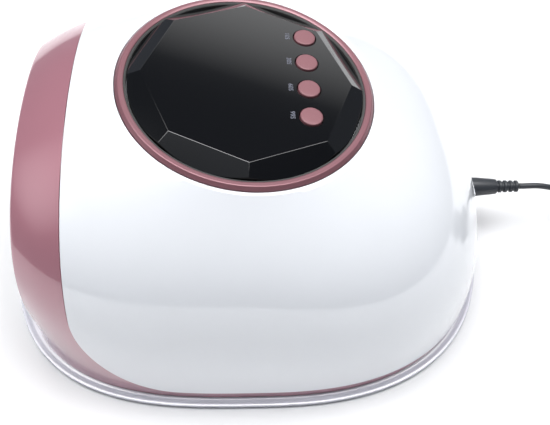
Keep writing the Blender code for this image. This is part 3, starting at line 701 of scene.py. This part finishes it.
def make_shell():
    r = SHELL_EDGE_RADIUS
    places = edge_places(body_point, lambda p: edge_level(p, -r), SHELL_COLUMNS, lowest=0.02)
    angles = top_angles(SHELL_COLUMNS)
    rim = [body_point(*place) for place in places]
    rows = []
    for k in range(SHELL_ROWS + 1):
        share = 1 - k / SHELL_ROWS
        rows.append([body_point(*between(place, a, share)) for place, a in zip(places, angles)])
    nudge = 0.002
    frames = []  # (away from the wall, on past its edge)
    for i, (a, t) in enumerate(places):
        along = (rim[(i + 1) % SHELL_COLUMNS] - rim[i - 1]).normalized()
        across = body_point(a + nudge, t) - body_point(a - nudge, t)
        upward = body_point(a, t + 2 * nudge) - body_point(a, t)
        out = across.cross(upward).normalized()
        frames.append((out, along.cross(out).normalized()))
    rounding = 6
    for k in range(1, rounding + 1):
        turn = pi / 2 * k / rounding
        rows.append([p + away * r * sin(turn) - out * r * (1 - cos(turn))
                     for p, (out, away) in zip(rim, frames)])
    rows.append([p + away * r - out * SHELL_THICKNESS for p, (out, away) in zip(rim, frames)])
    inner_rows = 16
    for k in range(inner_rows + 1):
        rows.append([body_point(*between(place, a, k / inner_rows), SHELL_THICKNESS)
                     for place, a in zip(places, angles)])
    # (radius, drop) under the display's seat, through its hole, and out to the top's rim
    hole_radius, under = 0.0400, 0.0058
    seat = [
        (0.0536, under), (hole_radius, under), (hole_radius, SEAT_DEPTH), (SEAT_RADIUS, SEAT_DEPTH),
        (SEAT_RADIUS, 0.0003), (SEAT_RADIUS + 0.0001, 0.0001), (SEAT_RADIUS + 0.0003, 0.0),
    ]
    for radius, drop in seat:
        rows.append([disc_point(a, radius, drop) for a in angles])
    shell = mesh_of("shell", [skin(rows, tube=True)], sharp=38)
    shell.data.materials.append(WHITE)
    cut_away(shell, "jack_pocket_cut", [box((-0.0085, 0.09, 0.0185), (0.0085, 0.13, 0.0315))])
    place_piece(shell, "lamp", ("upper_shell",))
    cup = mesh_of("jack_cup", [box((-0.0103, JACK_FLOOR_Y - 0.0020, 0.0167), (0.0103, 0.1046, 0.0333))])
    cup.data.materials.append(WHITE)
    cut_away(cup, "jack_cup_hollow", [box((-0.00849, JACK_FLOOR_Y, 0.01851), (0.00849, 0.13, 0.03149))])
    cut_away(cup, "jack_cup_hole", [along_y(turned([(0.0034, 0.09), (0.0034, 0.12)], 48))])
    place_piece(cup, "lamp")
    return shell


# ---------------------------------------------------------------- rose housing


def bend(a, b, c, steps=5):
    """Points along a curve that leaves a towards b and arrives at c from b."""
    made = []
    for k in range(steps + 1):
        t = k / steps
        made.append(a * (1 - t) ** 2 + b * (2 * t * (1 - t)) + c * t * t)
    return made


def face_point(x, z):
    """A point of the arch's face."""
    share = max(0.0, 1 - abs(x / ARCH_HALF_WIDTH) ** ARCH_POWER) ** (1 / ARCH_POWER)
    return Vector((x, -ARCH_DEPTH * share, z))


def band_column(psi):
    """One cross-section of the front band, from under the shell's edge, over the arch, into the mouth."""
    def outer(reach, inset=BAND_RECESS):
        angle, t = ray(psi, reach)
        return body_point(angle, min(t, 1.0), inset)

    def mouth(reach):
        return cavity_point(*ray(psi, reach), LINER_THICKNESS - GAP)

    at_shell = crossing(lambda s: edge_level(outer(s), GAP))
    overlap, furthest = 0.0060, 1.4
    under_shell = crossing(lambda s: edge_level(outer(s), -overlap), at_shell, furthest)
    under_shell = min(under_shell, 0.995 / max(0.01, sin(psi)))  # no higher than the wall's top
    at_arch = crossing(lambda s: arch_level(outer(s), 0.0))
    at_mouth = crossing(lambda s: arch_level(mouth(s), 0.0))
    at_lip = crossing(lambda s: arch_level(mouth(s), ARCH_LIP))
    nudge = 0.01
    scale = (outer(at_arch + nudge) - outer(at_arch)).length / nudge
    near = at_arch + CORNER_RADIUS / scale
    column = [outer(under_shell, BAND_UNDER), outer(at_shell, BAND_UNDER)]
    rows = 36
    column += [outer(at_shell + (near - at_shell) * k / rows) for k in range(rows + 1)]
    corner = outer(at_arch)
    lip = mouth(at_mouth)
    across = (lip - corner).normalized()
    face_near = face_point(corner.x + across.x * CORNER_RADIUS, corner.z + across.z * CORNER_RADIUS)
    column += bend(column[-1], corner, face_near)[1:]
    face_far = face_point(lip.x - across.x * LIP_RADIUS, lip.z - across.z * LIP_RADIUS)
    steps = 8
    for k in range(1, steps + 1):
        share = k / steps
        column.append(face_point(
            face_near.x + (face_far.x - face_near.x) * share, face_near.z + (face_far.z - face_near.z) * share
        ))
    into = mouth(at_mouth + (at_lip - at_mouth) * 0.35)
    column += bend(face_far, lip, into)[1:]
    column.append(mouth(at_lip))
    return column


def make_housing():
    """The front band, its feet, and the rose band round the sides and rear under the white shell."""
    def band(psi, reach):
        return body_point(*ray(psi, reach), BAND_RECESS)

    def arch_corner(psi):
        return crossing(lambda s: arch_level(band(psi, s), 0.0))

    def even_angles(first_angle, steps):
        return [first_angle + (pi - 2 * first_angle) * k / steps for k in range(steps + 1)]

    psis = even_places(lambda psi: band(psi, arch_corner(psi)), 0.0, pi, 180)
    columns = [band_column(psi) for psi in psis]
    shapes = [skin(columns, around=False)]
    first, last = columns[0], columns[-1]
    for column in (first, last):
        visible = column[2:]
        foot = [Vector((p.x, p.y, BAND_FOOT_Z)) for p in visible]
        shapes.append(skin([visible, foot], around=False))
    angles = even_angles(FRONT + SWING * crossing(lambda s: edge_level(band(0.0, s), GAP)), 200)
    around = even_angles(FRONT + SWING * arch_corner(0.0), 260)
    top_z = FOOT_Z - GAP
    inside_top = 0.030

    def level_row(inset, z, places):
        return [Vector((*inset_point(a, inset), z)) for a in places]

    rim_top = level_row(BAND_RECESS, top_z, angles)
    rim_top[0] = first[2]
    rim_top[-1] = last[2]
    shapes.append(skin([rim_top, level_row(BAND_RECESS, BAND_FOOT_Z, angles)], around=False))
    ledge = [rim_top, level_row(BAND_UNDER, top_z, angles), level_row(BAND_UNDER, top_z + 0.006, angles)]
    shapes.append(skin(ledge, around=False))
    under = [
        level_row(BAND_RECESS, BAND_FOOT_Z, around), level_row(BAND_INNER, BAND_FOOT_Z, around),
        level_row(BAND_INNER, inside_top, around), level_row(BAND_INNER - 0.001, inside_top, around),
    ]
    shapes.append(skin(under, around=False))
    housing = make_piece("housing", shapes, ROSE, "lamp", ("inner_housing",), sharp=40)
    bosses = []
    for angle in SCREW_ANGLES:
        centre = inset_point(angle, SCREW_INSET)
        profile = [(0.0036, BAND_FOOT_Z), (0.0036, 0.0172), (0.0019, 0.0172), (0.0019, 0.0100),
                   (0.0030, 0.0100), (0.0030, BAND_FOOT_Z)]
        bosses.append(washer(profile, 32, centre))
    for angle in MAGNET_ANGLES:
        centre = inset_point(angle, MAGNET_INSET)
        profile = [(0.0040, BAND_FOOT_Z), (0.0040, 0.0090), (0.0028, 0.0090), (0.0028, BAND_FOOT_Z)]
        bosses.append(washer(profile, 32, centre))
    make_piece("housing_bosses", bosses, ROSE, "lamp")
    return housing


def make_fixings():
    """Magnets in the tray and the lamp, and the screws that hold the shell."""
    for i, angle in enumerate(MAGNET_ANGLES, start=1):
        centre = inset_point(angle, MAGNET_INSET)
        for name, low, body in ((f"tray_magnet_{i}", 0.0024, "base"), (f"lamp_magnet_{i}", 0.0048, "lamp")):
            profile = [(0.0023, low), (0.0025, low + 0.0002), (0.0025, low + 0.0016), (0.0023, low + 0.0018)]
            make_piece(f"{name}_disc", [turned(profile, 40, centre)], STEEL, body, (name,))
    for i, angle in enumerate(SCREW_ANGLES, start=1):
        centre = inset_point(angle, SCREW_INSET)
        profile = [
            (0.0007, 0.0088), (0.0008, 0.0079), (0.0020, 0.0079), (0.0026, 0.0084), (0.0026, 0.0097),
            (0.0012, 0.0098), (0.0012, 0.0240), (0.0004, 0.0252),
        ]
        make_piece(f"screw_{i}", [turned(profile, 24, centre)], STEEL, "lamp", (f"shell_screw_{i}",))


# ---------------------------------------------------------------- reflector and lamp beads


def make_liner():
    back = ARCH_LIP + GAP

    def sheet(angle, t):
        return cavity_point(angle, t, LINER_THICKNESS)

    count = 360
    places = edge_places(sheet, lambda p: arch_level(p, back), count)
    angles = top_angles(count)
    rows = []
    steps = 44
    for k in range(steps + 1):
        rows.append([sheet(*between(place, a, k / steps)) for place, a in zip(places, angles)])
    for share in (0.85, 0.6, 0.35, 0.12):
        rows.append([
            Vector((p.x * share, CAVITY_TOP_Y + (p.y - CAVITY_TOP_Y) * share, p.z)) for p in rows[steps]
        ])
    points, faces = skin(rows)
    faces.append(tuple(len(points) - count + i for i in range(count)))
    skirt = []
    for i in range(count):
        j = (i + 1) % count
        if places[i][1] < 1e-6 and places[j][1] < 1e-6:
            skirt.append((i, j))
    low = {}
    for i in sorted({i for pair in skirt for i in pair}):
        low[i] = len(points)
        points.append(Vector((points[i].x, points[i].y, LINER_FOOT_Z)))
    faces += [(i, low[i], low[j], j) for i, j in skirt]
    liner = mesh_of("liner", [(points, faces)], sharp=60)
    liner.data.materials.append(MIRROR)
    # The visible side looks into the cavity, so the sheet's thickness is added behind it
    solid = liner.modifiers.new("thickness", "SOLIDIFY")
    solid.thickness = LINER_THICKNESS
    solid.offset = 1.0
    evaluated = liner.evaluated_get(bpy.context.evaluated_depsgraph_get())
    liner.data = bpy.data.meshes.new_from_object(evaluated)
    liner.modifiers.clear()
    wells = []
    for matrix, _, leds, _ in led_frames().values():
        wells += [moved(turned([(0.0032, -0.009), (0.0032, 0.006)], 32, p), matrix) for p in leds]
    wells.append(box((-0.0056, -0.0624, 0.05), (0.0056, -0.0532, 0.09)))  # the hand sensor's
    cut_away(liner, "liner_wells", wells)
    place_piece(liner, "lamp", ("reflector_liner",))


def strip_matrix(angle):
    """The lie of a strip on the cavity's wall: X along it, Y up it, Z out of the lamp."""
    here = cavity_point(angle, STRIP_SHARE)
    above = cavity_point(angle, STRIP_SHARE + 0.02)
    up = (above - here).normalized()
    along = Vector((-sin(angle), cos(angle), 0.0))
    outward = along.cross(up).normalized()
    turn = Matrix((along, up, outward)).transposed().to_4x4()
    return Matrix.Translation(here + outward * BOARD_GAP) @ turn


def led_frames():
    """board: (where it lies, its size, bead places, bead reach)."""
    top = Matrix.Translation((0.0, TOP_BOARD_Y, CAVITY_TOP_Z + BOARD_GAP))
    return {
        "top": (top, TOP_BOARD_SIZE, TOP_LEDS, 0.0040),
        "left": (strip_matrix(pi), SIDE_STRIP_SIZE, SIDE_LEDS, 0.0046),
        "right": (strip_matrix(0.0), SIDE_STRIP_SIZE, SIDE_LEDS, 0.0046),
        "rear": (strip_matrix(pi / 2), REAR_STRIP_SIZE, REAR_LEDS, 0.0046),
    }


def make_led_boards():
    for name, (matrix, size, places, reach) in led_frames().items():
        half_x, half_y = size[0] / 2, size[1] / 2
        plate = box((-half_x, -half_y, 0.0), (half_x, half_y, BOARD_THICKNESS))
        collars = [turned([(0.0024, -0.0018), (0.0025, -0.0016), (0.0025, 0.0005)], 32, p) for p in places]
        make_piece(
            f"led_strip_{name}", [plate, *collars], BOARD_WHITE, "lamp",
            (f"led_board_{name}",), matrix=matrix,
        )
        dome = [(BEAD_RADIUS * cos(a), -reach + (1 - sin(a)) * (reach - 0.0016))
                for a in (pi / 2 * share for share in (0.97, 0.8, 0.6, 0.4, 0.2, 0.0))]
        beads = [turned(dome + [(BEAD_RADIUS, -0.0010)], 32, p) for p in places]
        make_piece(f"led_beads_{name}", beads, LED_DOME, "lamp", matrix=matrix)


# ---------------------------------------------------------------- display


def make_bezel():
    """The metal ring round the lens, and a black ring of painted shade in the gap between the two, as
    (radius, height).
    """
    profile = [
        (0.0523, -0.0033), (0.0523, 0.0000), (0.05222, 0.0003), (0.0520, 0.0005), (0.0514, 0.00125),
        (0.05125, 0.00142), (0.0511, 0.00152), (0.0509, 0.00157), (0.0500, 0.00150), (0.0492, 0.00128),
        (0.0489, 0.00110), (0.0488, 0.00085), (0.0488, -0.0033),
    ]
    make_piece(
        "bezel", [washer(profile, 220)], ROSE_METAL, "lamp", ("display_bezel",),
        sharp=28, matrix=DISPLAY,
    )
    # A black ring put in the gap between the bezel and the lens: painted shade where the gap's shadow falls
    gap_shade_profile = [(0.0478, -0.0033), (0.0478, 0.0003), (0.0480, 0.0006), (0.0485, 0.0009), (0.0487, 0.0009),
            (0.0487, -0.0033)]
    make_piece("lens_gap_shade", [washer(gap_shade_profile, 220)], RUBBER, "lamp", sharp=28, matrix=DISPLAY)


def make_lens():
    """Flat facets that slope from an eight-sided table down to the round rim."""
    edge_distance = TABLE_RADIUS * cos(pi / 8)
    slope = (TABLE_HEIGHT + LENS_RIM_DROP) / (LENS_RADIUS - edge_distance)
    arc_steps = 24
    corners = [Vector((TABLE_RADIUS * cos(pi / 4 * k), TABLE_RADIUS * sin(pi / 4 * k), TABLE_HEIGHT))
               for k in range(8)]
    rim, wall = [], []
    for i in range(8 * arc_steps):
        angle = 2 * pi * i / (8 * arc_steps)
        off = (angle % (pi / 4)) - pi / 8
        drop = slope * (LENS_RADIUS * cos(off) - edge_distance)
        rim.append(Vector((LENS_RADIUS * cos(angle), LENS_RADIUS * sin(angle), TABLE_HEIGHT - drop)))
        wall.append(Vector((rim[-1].x, rim[-1].y, -SEAT_DEPTH + GAP)))
    points = corners + rim + wall
    count = len(rim)
    faces = [tuple(range(8)), tuple(8 + count + i for i in range(count))[::-1]]
    for k in range(8):
        arc = [8 + (k * arc_steps + i) % count for i in range(arc_steps + 1)]
        faces.append((k, *arc, (k + 1) % 8))
    for i in range(count):
        j = (i + 1) % count
        faces.append((8 + i, 8 + count + i, 8 + count + j, 8 + j))
    lens = mesh_of("lens", [(points, faces)], sharp=4, matrix=DISPLAY)
    lens.data.materials.append(BLACK_GLOSS)
    bevelled(lens, 0.0001, 2, 12)
    evaluated = lens.evaluated_get(bpy.context.evaluated_depsgraph_get())
    lens.data = bpy.data.meshes.new_from_object(evaluated)
    lens.modifiers.clear()
    well = BUTTON_RADIUS + BUTTON_CLEARANCE
    profile = [
        (well, TABLE_HEIGHT - 0.0030), (well, TABLE_HEIGHT - 0.0002), (well + 0.0003, TABLE_HEIGHT + 0.0002),
    ]
    wells = [turned(profile, 64, (x, BUTTON_Y)) for x in BUTTONS.values()]
    cut_away(lens, "lens_wells", wells, DISPLAY, sharp=20.0)
    place_piece(lens, "lamp", ("display_lens",))


def make_buttons():
    """The time buttons in their wells, and the seconds printed below each."""
    top = TABLE_HEIGHT + BUTTON_RAISE
    for seconds, x in BUTTONS.items():
        profile = [(0.0018, -0.0020), (0.0018, TABLE_HEIGHT - 0.0032), (BUTTON_RADIUS, TABLE_HEIGHT - 0.0028)]
        profile += [(BUTTON_RADIUS, top - 0.0006)]
        profile += [(BUTTON_RADIUS - 0.0005 * (1 - cos(a)), top - 0.0006 + 0.0005 * sin(a))
                    for a in (pi / 8, pi / 4, 3 * pi / 8, pi / 2)]
        profile += [(0.0028, top - 0.00002), (0.0014, top)]
        make_piece(
            f"time_button_{seconds}", [turned(profile, 72, (x, BUTTON_Y))], BUTTON_ROSE,
            f"button_{seconds}s_body", (f"button_{seconds}s",), sharp=40, matrix=DISPLAY,
        )
        text = bpy.data.curves.new(f"label_{seconds}", "FONT")
        text.body = f"{seconds}S"
        text.size = LABEL_SIZE
        text.align_x = "CENTER"
        text.align_y = "CENTER"
        text.extrude = 0.00002
        text.materials.append(PRINT)
        label = bpy.data.objects.new(f"label_{seconds}", text)
        bpy.context.scene.collection.objects.link(label)
        middle = (x + LABEL_SHIFT[0], BUTTON_Y + LABEL_SHIFT[1], TABLE_HEIGHT + LABEL_LIFT)
        label.matrix_world = DISPLAY @ Matrix.Translation(middle)
        place_piece(label, "lamp")


# ---------------------------------------------------------------- base tray


def make_tray():
    steps = 320
    # (reach past the body's outline, height), from the underside over the rim to the floor of the tray
    profile = [
        (-0.060, 0.0012), (0.0008, 0.0012), (0.0014, 0.0013), (0.0022, 0.0015), (0.0026, 0.0018),
        (0.0027, 0.0021), (0.0027, 0.0025), (0.0026, 0.0028), (0.0024, 0.0030), (0.0020, 0.00305),
        (0.0016, 0.0031), (0.0012, 0.0034), (0.0006, 0.0039), (0.0001, 0.0041), (-0.0006, 0.0042),
        (-0.0138, 0.0042), (-0.0141, 0.00415), (-0.0148, 0.0035), (-0.0151, 0.0034), (-0.060, 0.0034),
    ]
    angles = [2 * pi * i / steps for i in range(steps)]
    rows = [[(*inset_point(a, -grow), z) for a in angles] for grow, z in profile]
    tray = mesh_of("tray", [capped(rows)], sharp=40)
    tray.data.materials.append(PEARL)
    pockets = [
        turned([(0.0028, 0.0021), (0.0028, 0.01)], 32, inset_point(a, MAGNET_INSET)) for a in MAGNET_ANGLES
    ]
    cut_away(tray, "magnet_pockets", pockets)
    place_piece(tray, "base", ("base_tray",))


def make_feet():
    places = [(x, y) for x in (-0.055, 0.055) for y in (-0.070, 0.075)]
    profile = [
        (0.0040, 0.0), (0.0052, 0.0), (0.0058, 0.0002), (0.0060, 0.0006), (0.0060, 0.0017),
    ]
    for i, place in enumerate(places, start=1):
        make_piece(
            f"foot_{i}", [turned(profile, 48, place)], RUBBER, "base", (f"rubber_foot_{i}",)
        )


# ---------------------------------------------------------------- floor and light


def make_stage():
    steps = 128
    floor = mesh_of("floor", [(ring(0.60, 0.0, steps), [tuple(range(steps))])])
    floor.data.materials.append(plastic("floor", (0.82, 0.825, 0.835), 0.9, tint=0.0))
    world = bpy.data.worlds.new("studio")
    bpy.context.scene.world = world
    world.use_nodes = True
    nodes, links = world.node_tree.nodes, world.node_tree.links
    background = nodes["Background"]
    place = nodes.new("ShaderNodeTexCoord")
    split = nodes.new("ShaderNodeSeparateXYZ")
    links.new(place.outputs["Generated"], split.inputs["Vector"])
    height = nodes.new("ShaderNodeMapRange")
    height.inputs["From Min"].default_value = -1.0
    links.new(split.outputs["Z"], height.inputs["Value"])
    ramp = nodes.new("ShaderNodeValToRGB")
    links.new(height.outputs["Result"], ramp.inputs["Fac"])
    # Straight down, just under the horizon, just over it, and up to straight overhead
    stops = [
        (0.0, (1.0, 1.0, 1.0)), (0.440, (1.0, 1.01, 1.03)), (0.446, (0.13, 0.14, 0.165)),
        (0.73, (0.10, 0.105, 0.12)), (0.84, (0.03, 0.032, 0.04)), (0.93, (0.05, 0.05, 0.06)),
        (1.0, (0.5, 0.52, 0.55)),
    ]
    while len(ramp.color_ramp.elements) < len(stops):
        ramp.color_ramp.elements.new(0.5)
    for element, (position, colour) in zip(ramp.color_ramp.elements, stops):
        element.position = position
        element.color = (*colour, 1.0)
    links.new(ramp.outputs["Color"], background.inputs["Color"])
    background.inputs["Strength"].default_value = 1.0


def add_area(name, location, target, size, power):
    """A softbox whose glow fades out smoothly towards its edges."""
    light = bpy.data.lights.new(name, "AREA")
    light.shape = "RECTANGLE"
    light.size, light.size_y = size
    light.energy = power
    light.use_nodes = True
    nodes, links = light.node_tree.nodes, light.node_tree.links
    glow = nodes["Emission"]
    split = nodes.new("ShaderNodeSeparateXYZ")
    links.new(nodes.new("ShaderNodeNewGeometry").outputs["Parametric"], split.inputs["Vector"])

    def combine(operation, first, second):
        node = nodes.new("ShaderNodeMath")
        node.operation = operation
        for socket, value in zip(node.inputs, (first, second)):
            if isinstance(value, float):
                socket.default_value = value
            else:
                links.new(value, socket)
        return node.outputs["Value"]

    fades = []
    for axis in ("X", "Y"):
        across = split.outputs[axis]
        fades.append(combine("MULTIPLY", across, combine("SUBTRACT", 1.0, across)))
    links.new(combine("MULTIPLY", combine("MULTIPLY", *fades), 16.0), glow.inputs["Strength"])
    obj = bpy.data.objects.new(name, light)
    bpy.context.scene.collection.objects.link(obj)
    obj.location = location
    obj.rotation_euler = (Vector(target) - Vector(location)).to_track_quat("-Z", "Y").to_euler()


make_shell()
make_housing()
make_fixings()
make_liner()
make_led_boards()
make_bezel()
make_lens()
make_buttons()
make_tray()
make_feet()
make_stage()
add_area("overhead", (-0.18, 0.0, 1.60), (-0.07, 0.0, 0.0), (2.9, 1.3), 103.0)
add_area("far_softbox", (-1.40, 0.30, 0.95), (0.0, 0.0, 0.10), (2.2, 0.83), 10.0)
add_area("front_softbox", (0.10, -1.60, 1.00), (0.0, 0.0, 0.05), (1.6, 1.0), 5.0)

# CAD solids that no piece replaces show in their own slot's material
slots = {part["node"]: part["material_slot"] for part in frame["record"]["subparts"]}
for name, node in frame["nodes"].items():
    if not node.hide_render:
        node.data.materials.clear()
        node.data.materials.append(MATERIALS[slots[name]])

bpy.context.scene.view_settings.view_transform = "Standard"
